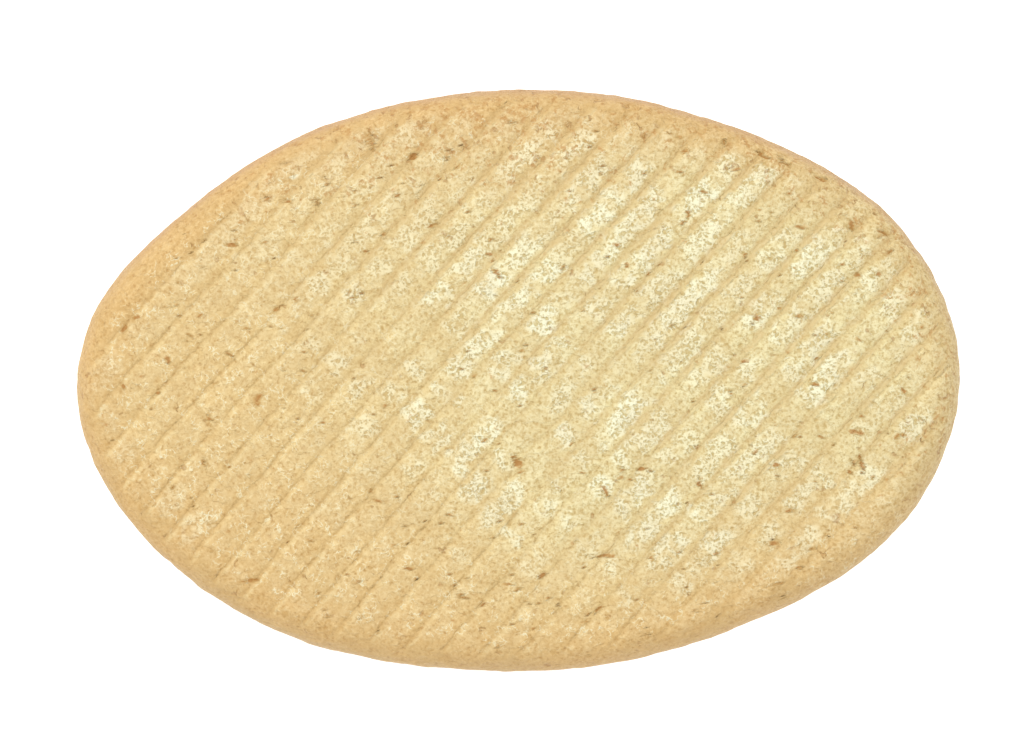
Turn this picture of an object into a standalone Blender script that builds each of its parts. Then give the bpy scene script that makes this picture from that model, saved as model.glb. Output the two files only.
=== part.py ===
"""Oval biscuit with a ribbed face, at full size in metres: +Z up, standing on Z = 0, centred on the origin.

The biscuit is one solid. A sphere cage lies with its poles across the ribs, so each of its rings becomes
one upright slice of the biscuit that runs along a groove. The slices sit on the lips, floors and lands of
the grooves, and formulas for the outline, the rim, the crown and the grooves say where each vertex goes.
The larger pores are then cut out of the ribbed face.
"""

import math

import bmesh
import bpy
import numpy as np
from mathutils import Euler, Vector

MM = 0.001

# Overall size
LENGTH = 70.0 * MM
WIDTH = 46.2 * MM
THICKNESS = 7.4 * MM

# Outline: waves round an ellipse, as (number of crests, share of the radius, bearing of a crest in degrees)
OUTLINE_WAVES = (
    (1, 0.010, -44.0),
    (2, 0.017, 44.0),
    (3, 0.005, 91.0),
    (4, 0.004, 89.0),
    (5, 0.006, 32.0),
    (6, 0.002, 47.0),
    (7, 0.0025, 25.0),
    (9, 0.002, 41.0),
)
OUTLINE_STEPS = 720

# Rim: height of the widest point, and how far in the two faces reach before they run level
RIM_HEIGHT = 3.3 * MM
TOP_ROUND = 2.7 * MM
BASE_ROUND = 1.9 * MM

# Ribbed face: a low crown, slow swells, and grooves whose pitch opens a little towards both ends. The grooves
# bow to the lower right towards their ends, the more so at the ends down and to the left
CROWN = 0.35 * MM
SWELL = 0.06 * MM
SWELL_LENGTHS = (19.0 * MM, 13.0 * MM, 8.0 * MM)
RIB_BEARING = math.radians(48.0)
RIB_PITCH = 2.40 * MM
RIB_SPREAD = 0.037
RIB_SHIFT = -0.43 * MM
MIDDLE_GROOVE = 1.95 * MM
GROOVES_EACH_SIDE = 11
RIB_BOW = 0.49 * MM
RIB_BOW_REACH = 24.6 * MM
RIB_BOW_FADE = 30.0 * MM
GROOVE_DEPTH = 0.28 * MM
GROOVE_FLOOR = 0.16 * MM
GROOVE_LIPS = (0.62 * MM, 0.42 * MM)
LAND_CROWN = 0.07 * MM
GROOVE_FADE = (0.7 * MM, 2.6 * MM)

# The larger pores and cracks: X, Y and length in millimetres, and bearing in degrees
PORES = (
    (-11.6, 18.8, 1.7, -60.0),
    (-8.2, 17.5, 1.1, 30.0),
    (-0.6, 20.1, 1.0, -20.0),
    (-22.4, 10.6, 0.9, 0.0),
    (-6.7, 12.1, 1.0, 10.0),
    (-1.7, 8.4, 1.3, -70.0),
    (14.6, 14.7, 1.2, -20.0),
    (22.1, 12.1, 1.1, 0.0),
    (25.9, 12.3, 1.7, -60.0),
    (28.1, 8.3, 1.0, 10.0),
    (-30.8, 4.2, 1.1, 65.0),
    (-20.3, -1.5, 1.0, 85.0),
    (-11.0, -9.4, 1.1, -30.0),
    (0.1, -6.5, 1.4, -60.0),
    (6.9, -8.7, 1.5, -55.0),
    (18.7, 4.8, 1.2, -10.0),
    (26.4, -4.1, 1.5, 12.0),
    (-21.1, -15.7, 1.7, 5.0),
    (6.7, -13.7, 1.6, 5.0),
    (20.0, -12.7, 1.3, -10.0),
    (23.0, -13.1, 0.9, 0.0),
    (14.2, -8.0, 1.2, -75.0),
)
PORE_SLIMNESS = 0.5
PORE_DEPTH = 0.30 * MM

# Fineness
POINTS_A_SLICE = 52
TIP_SLICES = 7
CLOSEST_SLICES = 0.12 * MM


def clear_scene():
    """Removes every object, so that the file holds the biscuit alone."""
    for item in list(bpy.data.objects):
        bpy.data.objects.remove(item, do_unlink=True)


def new_collection(name):
    """A collection in the scene, for the part or for its cutters."""
    collection = bpy.data.collections.new(name)
    bpy.context.scene.collection.children.link(collection)
    return collection


def baked_crumb():
    """Pale golden short dough, dull, with a little warmth."""
    material = bpy.data.materials.new("baked_crumb")
    material.use_nodes = True
    shader = material.node_tree.nodes["Principled BSDF"]
    shader.inputs["Base Color"].default_value = (0.80, 0.61, 0.33, 1.0)
    shader.inputs["Roughness"].default_value = 0.75
    shader.inputs["Metallic"].default_value = 0.0
    material.diffuse_color = (0.80, 0.61, 0.33, 1.0)
    return material


def outline():
    """The outline as X and Y: an ellipse with slow waves, stretched to LENGTH by WIDTH and centred."""
    bearing = np.linspace(-math.pi, math.pi, OUTLINE_STEPS, endpoint=False)
    share = np.ones_like(bearing)
    for crests, height, crest in OUTLINE_WAVES:
        share += height * np.cos(crests * (bearing - math.radians(crest)))
    x = LENGTH * share * np.cos(bearing)
    y = WIDTH * share * np.sin(bearing)
    x = (x - (x.max() + x.min()) / 2) * LENGTH / (x.max() - x.min())
    y = (y - (y.max() + y.min()) / 2) * WIDTH / (y.max() - y.min())
    return x, y


def rib_bow(along):
    """How far the middle rib has bowed at a distance along it: by the square of that distance."""
    return RIB_BOW * (along / RIB_BOW_REACH) ** 2 * np.where(along < 0.0, 1.0, 0.5)


def to_ribs(x, y):
    """X and Y as distance across the bowed ribs and distance along them."""
    across = x * math.sin(RIB_BEARING) - y * math.cos(RIB_BEARING)
    along = x * math.cos(RIB_BEARING) + y * math.sin(RIB_BEARING)
    bow = rib_bow(along)
    return (across - bow) / (1.0 + bow / RIB_BOW_FADE), along


def from_ribs(across, along):
    """The reverse of to_ribs. The bow grows across the ribs, and is gone at RIB_BOW_FADE up and to the left."""
    across = across + rib_bow(along) * (1.0 + across / RIB_BOW_FADE)
    x = across * math.sin(RIB_BEARING) + along * math.cos(RIB_BEARING)
    y = -across * math.cos(RIB_BEARING) + along * math.sin(RIB_BEARING)
    return x, y


def chord_ends(across):
    """Where a line along the ribs, at each distance across them, enters and leaves the outline."""
    edge_across, edge_along = to_ribs(*outline())
    first = np.argmin(edge_across)
    edge_across = np.roll(edge_across, -first)
    edge_along = np.roll(edge_along, -first)
    last = np.argmax(edge_across)
    one_side = np.interp(across, edge_across[: last + 1], edge_along[: last + 1])
    other_across = np.append(edge_across[last:], edge_across[0])[::-1]
    other_along = np.append(edge_along[last:], edge_along[0])[::-1]
    other_side = np.interp(across, other_across, other_along)
    return np.minimum(one_side, other_side), np.maximum(one_side, other_side)


def edge_distance(x, y):
    """Distance in from the outline: the gap along the radius, leaned by the outline's slope there."""
    edge_x, edge_y = outline()
    bearing = np.arctan2(edge_y, edge_x)
    order = np.argsort(bearing)
    bearing = bearing[order]
    radius = np.hypot(edge_x, edge_y)[order]
    slope = np.gradient(radius, bearing)
    lean = radius / np.hypot(radius, slope)
    here = np.arctan2(y, x)
    reach = np.interp(here, bearing, radius, period=2 * math.pi)
    leaned = np.interp(here, bearing, lean, period=2 * math.pi)
    return np.maximum((reach - np.hypot(x, y)) * leaned, 0.0)


def quarter_round(distance, width):
    """Rises from 0 at the rim to 1 at width in, along a quarter of an ellipse."""
    left = 1.0 - np.clip(distance / width, 0.0, 1.0)
    return np.sqrt(1.0 - left * left)


def smooth_step(value, low, high):
    """0 below low and 1 above high, with a smooth rise between."""
    share = np.clip((value - low) / (high - low), 0.0, 1.0)
    return share * share * (3.0 - 2.0 * share)


def groove_lines():
    """Distance across the ribs of each groove's middle: a steady pitch that opens slowly to both ends."""
    count = np.arange(-GROOVES_EACH_SIDE, GROOVES_EACH_SIDE + 1)
    spread = (count / GROOVES_EACH_SIDE) ** 2
    return MIDDLE_GROOVE + RIB_PITCH * count * (1.0 + RIB_SPREAD * spread) + RIB_SHIFT * spread


def groove_strength(x, y):
    """How deep a groove is pressed, as a share: deepest up and to the right, faint by the lower right rim."""
    side = x / (LENGTH / 2)
    up = y / (WIDTH / 2)
    return np.clip(0.55 + 1.2 * side * up + 0.4 * up, 0.3, 1.05)


def ribs(x, y):
    """Height that the grooves take off and the lands' low crowns add, faded out by the rim.

    A groove's flat floor is GROOVE_FLOOR wide each way. Its wall rises to a lip, farther off on the upper left.
    """
    across, _ = to_ribs(x, y)
    away = across[:, None] - groove_lines()[None, :]
    away = np.take_along_axis(away, np.abs(away).argmin(axis=1)[:, None], axis=1)[:, 0]
    lip = np.where(away < 0.0, GROOVE_LIPS[0], GROOVE_LIPS[1])
    wall = 1.0 - smooth_step(np.abs(away), GROOVE_FLOOR, lip)
    land = smooth_step(np.abs(away), lip, RIB_PITCH / 2)
    fade = smooth_step(edge_distance(x, y), *GROOVE_FADE)
    return fade * groove_strength(x, y) * (LAND_CROWN * land - GROOVE_DEPTH * wall)


def swell(x, y):
    """Slow rises and dips of the face: three crossed waves of different lengths."""
    height = np.zeros_like(x)
    for turn, length in enumerate(SWELL_LENGTHS):
        bearing = math.radians(25.0 + 70.0 * turn)
        run = x * math.cos(bearing) + y * math.sin(bearing)
        height += SWELL / (turn + 1) * np.sin(2 * math.pi * run / length + turn)
    return height


def top_height(x, y):
    """The ribbed face: a rounded rim, then a low crown with its swells, lands and grooves."""
    distance = edge_distance(x, y)
    level = THICKNESS - CROWN - LAND_CROWN
    rim = RIM_HEIGHT + (level - RIM_HEIGHT) * quarter_round(distance, TOP_ROUND)
    out = (2 * x / LENGTH) ** 2 + (2 * y / WIDTH) ** 2
    inside = smooth_step(distance, 0.0, 2 * TOP_ROUND)
    return rim + inside * (CROWN * (1.0 - out) + swell(x, y)) + ribs(x, y)


def base_height(x, y):
    """The underside: a rounded edge, then flat at Z = 0."""
    return RIM_HEIGHT * (1.0 - quarter_round(edge_distance(x, y), BASE_ROUND))


def slice_stations():
    """Distance across the ribs of every slice, from one tip to the other, both tips included.

    Each groove has a slice on both lips and both sides of its floor, and each land one on its middle.
    The slices of a tip close up towards its end, and leave out those that would crowd a groove's.
    """
    edge_across, _ = to_ribs(*outline())
    low, high = edge_across.min(), edge_across.max()
    lines = groove_lines()
    offsets = np.array([-GROOVE_LIPS[0], -GROOVE_FLOOR, GROOVE_FLOOR, GROOVE_LIPS[1]])
    grooved = np.concatenate([(lines[:, None] + offsets).ravel(), (lines[1:] + lines[:-1]) / 2])
    grooved = grooved[(grooved > low + CLOSEST_SLICES) & (grooved < high - CLOSEST_SLICES)]
    turns = np.linspace(0.0, math.pi / 2, TIP_SLICES + 1)[1:]
    steps = TOP_ROUND * (1.0 - np.cos(turns))
    tips = np.concatenate([low + steps, high - steps])
    crowding = np.abs(tips[:, None] - grooved[None, :]).min(axis=1)
    tips = tips[crowding > CLOSEST_SLICES]
    return np.sort(np.concatenate([[low, high], tips, grooved]))[::-1]


def fit(values, low, high):
    """Stretches coordinates so that they run exactly from low to high."""
    return low + (values - values.min()) * (high - low) / (values.max() - values.min())


def biscuit_body(collection, material):
    """The biscuit as a sphere cage whose rings are slices along the ribs."""
    stations = slice_stations()
    cage = bmesh.new()
    bmesh.ops.create_uvsphere(cage, u_segments=POINTS_A_SLICE, v_segments=len(stations) - 1, radius=1.0)
    mesh = bpy.data.meshes.new("biscuit")
    cage.to_mesh(mesh)
    cage.free()

    place = np.empty(len(mesh.vertices) * 3)
    mesh.vertices.foreach_get("co", place)
    ball_x, ball_y, ball_z = place.reshape(-1, 3).T
    polar = np.arccos(np.clip(ball_z, -1.0, 1.0))
    ring = np.rint(polar / math.pi * (len(stations) - 1)).astype(int)
    turn = np.arctan2(ball_y, ball_x)

    across = stations[ring]
    start, end = chord_ends(across)
    along = (start + end) / 2 + (end - start) / 2 * np.cos(turn)
    x, y = from_ribs(across, along)
    at_tip = (ring == 0) | (ring == len(stations) - 1)
    on_rim = at_tip | (np.abs(np.sin(turn)) < 0.001)
    z = np.where(np.sin(turn) > 0.0, top_height(x, y), base_height(x, y))
    z[on_rim] = RIM_HEIGHT
    x = fit(x, -LENGTH / 2, LENGTH / 2)
    y = fit(y, -WIDTH / 2, WIDTH / 2)
    z = fit(z, 0.0, THICKNESS)
    mesh.vertices.foreach_set("co", np.stack([x, y, z], axis=1).ravel())

    mesh.materials.append(material)
    mesh.shade_smooth()
    mesh.update()
    body = bpy.data.objects.new("biscuit", mesh)
    collection.objects.link(body)
    return body


def pore_cutters(collection):
    """Small flattened balls, each turned along its pore, sunk into the ribbed face where the pore opens."""
    for number, (x, y, length, bearing) in enumerate(PORES):
        half = length * MM / 2
        shape = bmesh.new()
        bmesh.ops.create_icosphere(shape, subdivisions=1, radius=1.0)
        bmesh.ops.scale(shape, vec=Vector((half, half * PORE_SLIMNESS, PORE_DEPTH)), verts=shape.verts)
        mesh = bpy.data.meshes.new(f"pore_cutter_{number:02d}")
        shape.to_mesh(mesh)
        shape.free()
        cutter = bpy.data.objects.new(mesh.name, mesh)
        face = float(top_height(np.array([x * MM]), np.array([y * MM]))[0])
        cutter.location = (x * MM, y * MM, face + PORE_DEPTH / 4)
        cutter.rotation_euler = Euler((0.0, 0.0, math.radians(bearing)))
        cutter.hide_render = True
        cutter.display_type = "WIRE"
        collection.objects.link(cutter)


def main():
    clear_scene()
    part = new_collection("oval_biscuit")
    cutters = new_collection("pore_cutters")
    body = biscuit_body(part, baked_crumb())
    pore_cutters(cutters)
    cut = body.modifiers.new("pores", "BOOLEAN")
    cut.operation = "DIFFERENCE"
    cut.operand_type = "COLLECTION"
    cut.collection = cutters
    cut.solver = "EXACT"


main()
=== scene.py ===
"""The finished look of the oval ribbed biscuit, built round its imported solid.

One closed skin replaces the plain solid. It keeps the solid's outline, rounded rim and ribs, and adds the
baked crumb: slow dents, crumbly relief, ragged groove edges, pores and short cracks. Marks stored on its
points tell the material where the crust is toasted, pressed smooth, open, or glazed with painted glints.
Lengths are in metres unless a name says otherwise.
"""

import math

import bpy
import numpy as np
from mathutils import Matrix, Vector


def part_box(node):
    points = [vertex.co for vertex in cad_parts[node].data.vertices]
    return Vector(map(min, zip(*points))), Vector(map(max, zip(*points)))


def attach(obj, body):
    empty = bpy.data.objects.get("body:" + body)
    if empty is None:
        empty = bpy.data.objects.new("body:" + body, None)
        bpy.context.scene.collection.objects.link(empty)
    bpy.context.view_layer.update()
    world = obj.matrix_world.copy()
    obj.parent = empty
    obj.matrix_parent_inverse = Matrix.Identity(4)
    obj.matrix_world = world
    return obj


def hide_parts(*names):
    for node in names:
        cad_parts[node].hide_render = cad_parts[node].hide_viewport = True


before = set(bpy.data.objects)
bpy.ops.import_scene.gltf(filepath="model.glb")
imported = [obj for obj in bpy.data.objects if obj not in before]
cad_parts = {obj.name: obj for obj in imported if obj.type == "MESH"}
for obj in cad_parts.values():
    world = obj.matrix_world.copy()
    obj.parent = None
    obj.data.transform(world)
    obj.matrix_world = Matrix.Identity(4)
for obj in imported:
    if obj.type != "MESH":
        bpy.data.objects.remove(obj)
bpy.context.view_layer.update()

MM = 0.001
LOWEST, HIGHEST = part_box("biscuit")
LENGTH, WIDTH, THICKNESS = HIGHEST - LOWEST

# Outline: waves round an ellipse, as (number of crests, share of the radius, bearing of a crest in degrees)
OUTLINE_WAVES = (
    (1, 0.010, -44.0),
    (2, 0.017, 44.0),
    (3, 0.005, 91.0),
    (4, 0.004, 89.0),
    (5, 0.006, 32.0),
    (6, 0.002, 47.0),
    (7, 0.0025, 25.0),
    (9, 0.002, 41.0),
)
OUTLINE_STEPS = 1440

# Rim: height of the widest point, and how far in the two faces reach before they run level
RIM_HEIGHT = 3.3 * MM
TOP_ROUND = 2.7 * MM
BASE_ROUND = 1.9 * MM

# Ribbed face
CROWN = 0.35 * MM
RIB_BEARING = math.radians(48.0)
RIB_PITCH = 2.40 * MM
RIB_SPREAD = 0.037
RIB_SHIFT = -0.43 * MM
MIDDLE_GROOVE = 1.95 * MM
GROOVES_EACH_SIDE = 11
RIB_BOW = 0.49 * MM
RIB_BOW_REACH = 24.6 * MM
RIB_BOW_FADE = 30.0 * MM
GROOVE_DEPTH = 0.22 * MM

# Places on a groove, from its upper left to its lower right: lip, floor's two sides, lip. First where the
# ribs start, down and to the left, then from where they are pressed square, with the change along them
# between. GROOVE_SMOOTH is how far up the lower right side, as a share, the smooth pressed floor reaches
GROOVE_SHAPES = (
    (-0.28 * MM, 0.08 * MM, 0.12 * MM, 0.68 * MM),
    (-0.38 * MM, -0.04 * MM, 0.22 * MM, 0.68 * MM),
)
GROOVE_CHANGE = (-14.0 * MM, 4.0 * MM)
GROOVE_SMOOTH = 0.6
LAND_CROWN = 0.07 * MM
GROOVE_FADE = (0.5 * MM, 2.2 * MM)

# How firmly the ribs are pressed, as shares: in the middle, gained in the upper right corner, at the top and
# at the right end, then the lowest and highest. It is uneven by (grain, share)
PRESS_MIDDLE = 0.62
PRESS_CORNER, PRESS_TOP, PRESS_END = 0.42, 0.22, 0.05
PRESS_SPAN = (0.36, 0.88)
PRESS_UNEVEN = ((4.5 * MM, 0.30), (1.7 * MM, 0.22))
PRESS_LIMITS = (0.1, 1.15)

# A soft patch that gives way under the press, as X, Y and reach in each
SOFT_PATCH = (3.0 * MM, -1.0 * MM, 10.0 * MM, 8.0 * MM)
SOFT_PATCH_GIVES = 0.5

# Wander of the grooves' sides, as (grain, reach)
GROOVE_WANDER = ((2.2 * MM, 0.08 * MM), (0.6 * MM, 0.11 * MM))

# How far the grooves swing to one side at the upper left, low down, and at the right end, each with where
# it sets in along the ribs and across them. The first is a bell along them, as middle and reach
SWAY_LEFT, LEFT_BELL, LEFT_ACROSS = 0.26 * MM, (-8.0 * MM, 6.0 * MM), (2.0 * MM, 22.0 * MM)
SWAY_LOW, LOW_ALONG, LOW_ACROSS = 0.14 * MM, (-4.0 * MM, 8.0 * MM), (0.0, 16.0 * MM)
SWAY_RIGHT, RIGHT_ALONG, RIGHT_ACROSS = 0.28 * MM, (8.0 * MM, 24.0 * MM), (2.0 * MM, 16.0 * MM)

# Faint glaze with painted glints everywhere, and the extra share of it at the upper left, with where that
# sets in
GLAZE_GLINT_BASE = 0.24
GLAZE_GLINT_UPPER_LEFT = 0.24
GLAZE_GLINT_UP = (2.0 * MM, 12.0 * MM)
GLAZE_GLINT_LEFT = (-2.0 * MM, 16.0 * MM)

# Edges of the glaze and its painted glints: ragged ends by (grain, reach) and sides by (grain, share of the
# pitch), where it starts and stops across a land, how soft the ends of its stretches are, and how far in from
# the outline it sets in
GLAZE_GLINT_RAGGED = (0.8 * MM, 0.55 * MM)
GLAZE_GLINT_SIDE_RAGGED = (0.55 * MM, 0.17)
GLAZE_GLINT_STARTS, GLAZE_GLINT_STOPS = (0.08, 0.20), (0.78, 0.94)
GLAZE_GLINT_END_MM = 0.35
GLAZE_GLINT_RIM = (0.6 * MM, 2.5 * MM)

# Glazed stretches of the lands, where glints are painted, by the land's number counted from the middle
# groove: where each starts and ends along its rib in millimetres, and how strongly it is glazed and its
# glints painted
GLAZE_GLINTS = {
    -11: ((-24.1, -19.7, 0.5), (-18.7, -15.7, 0.35), (-3.9, -1.0, 0.3), (-1.0, 3.9, 0.6)),
    -10: ((-24.6, -23.1, 0.4), (-8.3, -6.4, 0.5), (-2.9, -1.0, 0.5), (0.0, 2.5, 0.4), (3.0, 7.4, 0.6)),
    -9: ((-26.0, -23.6, 0.5), (-8.8, -4.9, 0.5), (-2.0, 2.0, 0.45), (7.4, 10.8, 0.7)),
    -8: ((-9.6, -8.7, 0.8), (-5.4, -3.9, 0.8), (-1.0, 1.0, 0.6), (3.7, 4.3, 0.6), (7.9, 14.8, 0.5)),
    -7: ((-26.5, -23.6, 0.5), (-9.8, -8.3, 0.6), (-4.9, -2.9, 0.9), (-1.0, 0.5, 0.5), (3.0, 5.9, 0.4),
         (7.9, 15.7, 0.5)),
    -6: ((-27.0, -24.1, 0.6), (-17.7, -15.7, 0.4), (-11.8, -10.8, 0.6), (-9.3, -7.9, 0.9), (-6.4, -5.4, 0.5),
         (-1.5, 2.0, 0.5), (3.0, 6.9, 0.5), (6.9, 7.8, 0.9), (10.8, 17.2, 0.8)),
    -5: ((-21.6, -19.7, 0.3), (-14.2, -12.8, 0.7), (-9.8, -7.4, 0.8), (-1.0, 2.0, 0.8), (3.0, 5.9, 0.7),
         (7.9, 11.8, 0.5), (12.8, 18.7, 0.8)),
    -4: ((-11.8, -9.8, 0.6), (-7.9, -6.4, 0.7), (-5.4, -3.9, 0.8), (-1.0, 1.5, 0.6), (3.0, 5.5, 1.0),
         (6.4, 10.8, 0.7), (12.8, 19.7, 0.8)),
    -3: ((-18.7, -16.7, 0.4), (-13.8, -12.3, 0.5), (-8.3, -6.4, 1.0), (-5.4, -4.4, 0.8), (-2.9, 5.9, 0.8),
         (6.9, 8.9, 0.9), (11.8, 19.7, 0.85)),
    -2: ((-11.8, -9.8, 0.5), (-8.8, -5.9, 0.8), (-4.9, -3.4, 0.7), (-1.0, 1.5, 0.8), (3.5, 5.9, 1.0),
         (6.4, 7.9, 0.4), (8.9, 18.7, 0.8)),
    -1: ((-17.2, -15.7, 0.5), (-11.3, -10.3, 0.5), (-8.8, -3.3, 0.9), (-1.5, 1.0, 0.9), (1.0, 4.9, 0.8),
         (7.4, 9.8, 0.8), (10.8, 16.7, 0.9), (17.7, 21.6, 0.8), (22.1, 24.1, 0.5)),
    0: ((-13.8, -12.8, 0.5), (-9.8, -7.4, 1.0), (-6.4, -4.7, 0.7), (0.0, 4.9, 0.6), (7.4, 9.8, 0.9),
        (9.8, 14.8, 0.7), (15.7, 25.6, 0.65)),
    1: ((-14.2, -12.8, 0.5), (-10.8, -5.9, 0.8), (-1.5, 0.0, 0.9), (1.0, 4.9, 0.9), (6.9, 8.9, 0.5),
        (8.9, 17.2, 0.85), (17.7, 20.7, 0.5), (24.6, 26.6, 0.4)),
    2: ((-15.7, -13.8, 0.4), (-9.8, -8.8, 1.0), (-6.9, -2.9, 0.6), (-2.0, -1.0, 0.6), (0.0, 5.9, 0.9),
        (6.9, 14.8, 0.6), (15.7, 23.6, 0.6)),
    3: ((-10.8, -8.8, 0.6), (-5.9, -4.9, 0.6), (-2.4, -1.0, 0.9), (0.0, 5.9, 0.7), (8.9, 12.8, 0.5),
        (15.3, 18.7, 0.8), (20.7, 25.6, 0.8)),
    4: ((-11.2, -10.6, 0.9), (-7.4, -4.9, 0.5), (-2.9, -1.5, 0.8), (-1.0, 1.6, 1.0), (3.0, 5.9, 0.5),
        (7.9, 13.8, 0.65), (15.7, 26.6, 0.65)),
    5: ((-9.8, -8.8, 0.4), (-6.4, -5.4, 0.7), (-3.9, 2.0, 0.8), (3.0, 7.9, 0.6), (8.9, 11.8, 0.7),
        (13.8, 19.7, 0.8), (20.7, 26.6, 0.6)),
    6: ((-7.4, -5.9, 0.7), (-3.9, 0.0, 0.9), (1.0, 3.0, 0.8), (3.0, 10.8, 0.65), (13.8, 18.7, 0.8),
        (22.6, 25.6, 0.55)),
    7: ((-6.9, -6.3, 0.6), (-3.9, -2.9, 0.8), (-2.0, 2.0, 0.9), (3.9, 5.9, 0.6), (7.9, 10.3, 0.7),
        (17.7, 19.7, 0.5), (20.7, 25.6, 0.55)),
    8: ((-1.0, 2.0, 0.4), (3.0, 4.9, 0.7), (6.9, 10.8, 0.7), (13.8, 19.7, 0.4)),
    9: ((3.0, 6.9, 0.6), (7.9, 13.8, 0.6), (16.7, 19.7, 0.65)),
}

# Pits and cracks that stand out: X, Y and length in millimetres, and bearing in degrees
PITS = (
    (-11.6, 18.8, 1.7, -60.0), (-8.2, 17.5, 1.1, 30.0), (-0.6, 20.1, 1.0, -20.0), (-22.4, 10.6, 0.9, 0.0),
    (-6.7, 12.1, 1.0, 10.0), (-1.7, 8.4, 1.3, -70.0), (22.1, 12.1, 1.1, 0.0), (28.1, 8.3, 1.0, 10.0),
    (-20.3, -1.5, 1.0, 85.0), (-11.0, -9.4, 1.1, -30.0), (0.1, -6.5, 1.4, -60.0), (18.7, 4.8, 1.2, -10.0),
    (26.4, -4.1, 1.5, 12.0), (20.0, -12.7, 1.3, -10.0), (23.0, -13.1, 0.9, 0.0), (-15.9, 18.0, 0.4, 20.0),
    (-24.6, 10.9, 0.3, 20.0), (-24.2, 12.9, 0.3, 20.0), (-12.2, 6.9, 0.7, 20.0), (-7.1, 20.5, 0.6, 20.0),
    (4.5, 21.0, 0.7, 20.0), (-9.5, 14.4, 0.6, 20.0), (6.6, 13.6, 0.5, 20.0), (6.6, 16.7, 0.5, 20.0),
    (10.9, 9.0, 0.6, 60.0), (-10.5, 11.4, 0.8, 20.0), (12.7, 16.2, 0.6, 20.0), (21.1, 14.5, 0.7, 20.0),
    (28.2, 11.4, 0.7, 20.0), (25.2, 9.0, 0.8, 20.0), (17.8, 9.4, 0.5, 20.0), (-29.9, 5.1, 0.6, 20.0),
    (-16.5, 4.1, 0.6, 20.0), (-18.8, 5.5, 0.8, 20.0), (-24.2, -3.0, 0.7, 20.0), (-24.6, -6.3, 0.8, 85.0),
    (-27.0, -8.4, 0.6, 20.0), (-31.7, -4.8, 0.6, 20.0), (0.2, 2.3, 0.7, 20.0), (-1.9, -0.7, 0.6, 20.0),
    (9.6, -6.9, 0.6, 20.0), (21.9, 5.0, 0.8, 20.0), (26.6, 3.2, 0.6, -45.0), (17.6, 1.5, 0.8, 20.0),
    (20.0, 2.0, 0.7, 20.0), (31.5, 4.1, 0.8, 20.0), (18.4, -5.4, 0.7, 60.0), (20.1, -6.6, 0.7, 20.0),
    (21.2, -10.2, 0.7, 20.0), (27.9, -7.6, 0.6, 20.0), (-12.6, -15.7, 0.6, 20.0), (-12.2, -18.7, 0.7, 70.0),
    (-8.4, -14.8, 0.8, 20.0), (1.9, -15.3, 0.7, 45.0), (-2.8, -17.5, 0.8, 20.0), (1.2, -19.5, 0.7, 20.0),
    (18.8, -16.2, 0.7, 80.0), (12.6, -13.5, 0.8, 20.0),
)
CRACKS = (
    (14.6, 14.7, 1.4, -20.0), (25.9, 12.3, 2.0, -60.0), (-30.8, 4.2, 1.3, 65.0), (6.9, -8.7, 1.8, -55.0),
    (-21.1, -15.7, 1.9, 5.0), (6.7, -13.7, 1.8, 5.0), (14.2, -8.0, 1.4, -75.0), (-18.1, 14.0, 0.9, 15.0),
    (-4.3, 18.4, 0.8, 20.0), (3.6, 8.6, 0.6, 40.0), (13.3, 13.0, 1.1, -70.0), (17.0, 16.6, 1.2, 0.0),
    (19.1, 17.6, 1.2, -35.0), (29.1, 10.1, 1.2, 80.0), (-22.4, 2.1, 0.8, -25.0), (-25.5, -9.8, 0.8, -70.0),
    (6.0, -1.2, 0.8, -70.0), (5.2, -7.3, 0.7, 5.0), (-5.5, -10.5, 0.9, 0.0), (0.3, -11.2, 1.0, 90.0),
    (23.1, 3.6, 0.8, -20.0), (26.9, -6.4, 1.6, -75.0), (-0.9, -15.9, 1.0, 10.0), (-0.1, -18.7, 0.8, -20.0),
    (-4.5, -16.8, 1.5, -15.0), (9.8, -19.8, 1.2, -10.0), (6.5, -17.9, 1.2, 30.0), (20.1, -15.9, 1.4, 15.0),
    (14.5, -17.5, 0.8, 15.0), (16.1, 18.6, 0.9, 80.0), (20.9, 17.2, 1.4, -45.0), (23.9, 15.8, 1.5, -15.0),
    (28.1, 13.1, 0.9, -60.0), (28.6, 11.6, 1.3, -20.0), (26.5, 8.3, 1.4, -30.0),
)
PIT_SLIMNESS = 0.50
CRACK_SLIMNESS = 0.26
PIT_DEPTH = 0.19 * MM
PIT_SEED = 31
CRACK_SEED = 33

# Edges of every dent: ragged by (grain, share), wandering by (grain, reach), and how far out they fade
DENT_RAGGED = (0.30 * MM, 0.55)
DENT_WANDER = (0.8 * MM, 0.18 * MM)
DENT_FADE = (0.35, 1.1)

# Dents by the rim are this share as deep, and reach their full depth over this distance in from it. Cracks
# towards the upper right gape at their full depth up to the rim
RIM_DENT_SHARE = 0.50
RIM_DENTS = (1.0 * MM, 4.0 * MM)

# Smooth pale knobs, in the same terms
KNOBS = ((-2.2, 7.4, 2.3, 84.0), (0.1, -12.4, 1.5, 75.0), (-17.4, 15.9, 0.9, 20.0), (0.3, 9.5, 0.6, 0.0))
KNOB_SLIMNESS = 0.40
KNOB_HEIGHT = 0.10 * MM
KNOB_SEED = 37

# How far out over the biscuit marks are drawn at random, as a share of the outline
SCATTER_REACH = 0.96

# Fine pores, drawn at random, and shallower in the base
PORES = 240
PORE_LENGTHS_MM = (0.28, 0.65)
PORE_SLIMNESS = 0.7
PORE_DEPTH = 0.12 * MM
BASE_PORE_SHARE = 0.6
PORE_SEED = 23
PORE_EDGE_SEED = 35

# Short nicks, drawn at random too: all of them are kept at the upper right, and a share elsewhere. They are
# as deep as a share of a crack
NICKS = 300
NICKS_ELSEWHERE = 0.25
NICK_LENGTHS_MM = (0.4, 1.0)
NICK_SLIMNESS = 0.24
NICK_SHARE = 0.8
NICK_SEED = 41
NICK_EDGE_SEED = 39

# The upper right sets in as X plus this share of Y goes from the first place to the second
UPPER_RIGHT_SLANT = 0.9
UPPER_RIGHT = (8.0 * MM, 32.0 * MM)

# Values in each direction before a drift repeats itself
LATTICE = 48

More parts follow.
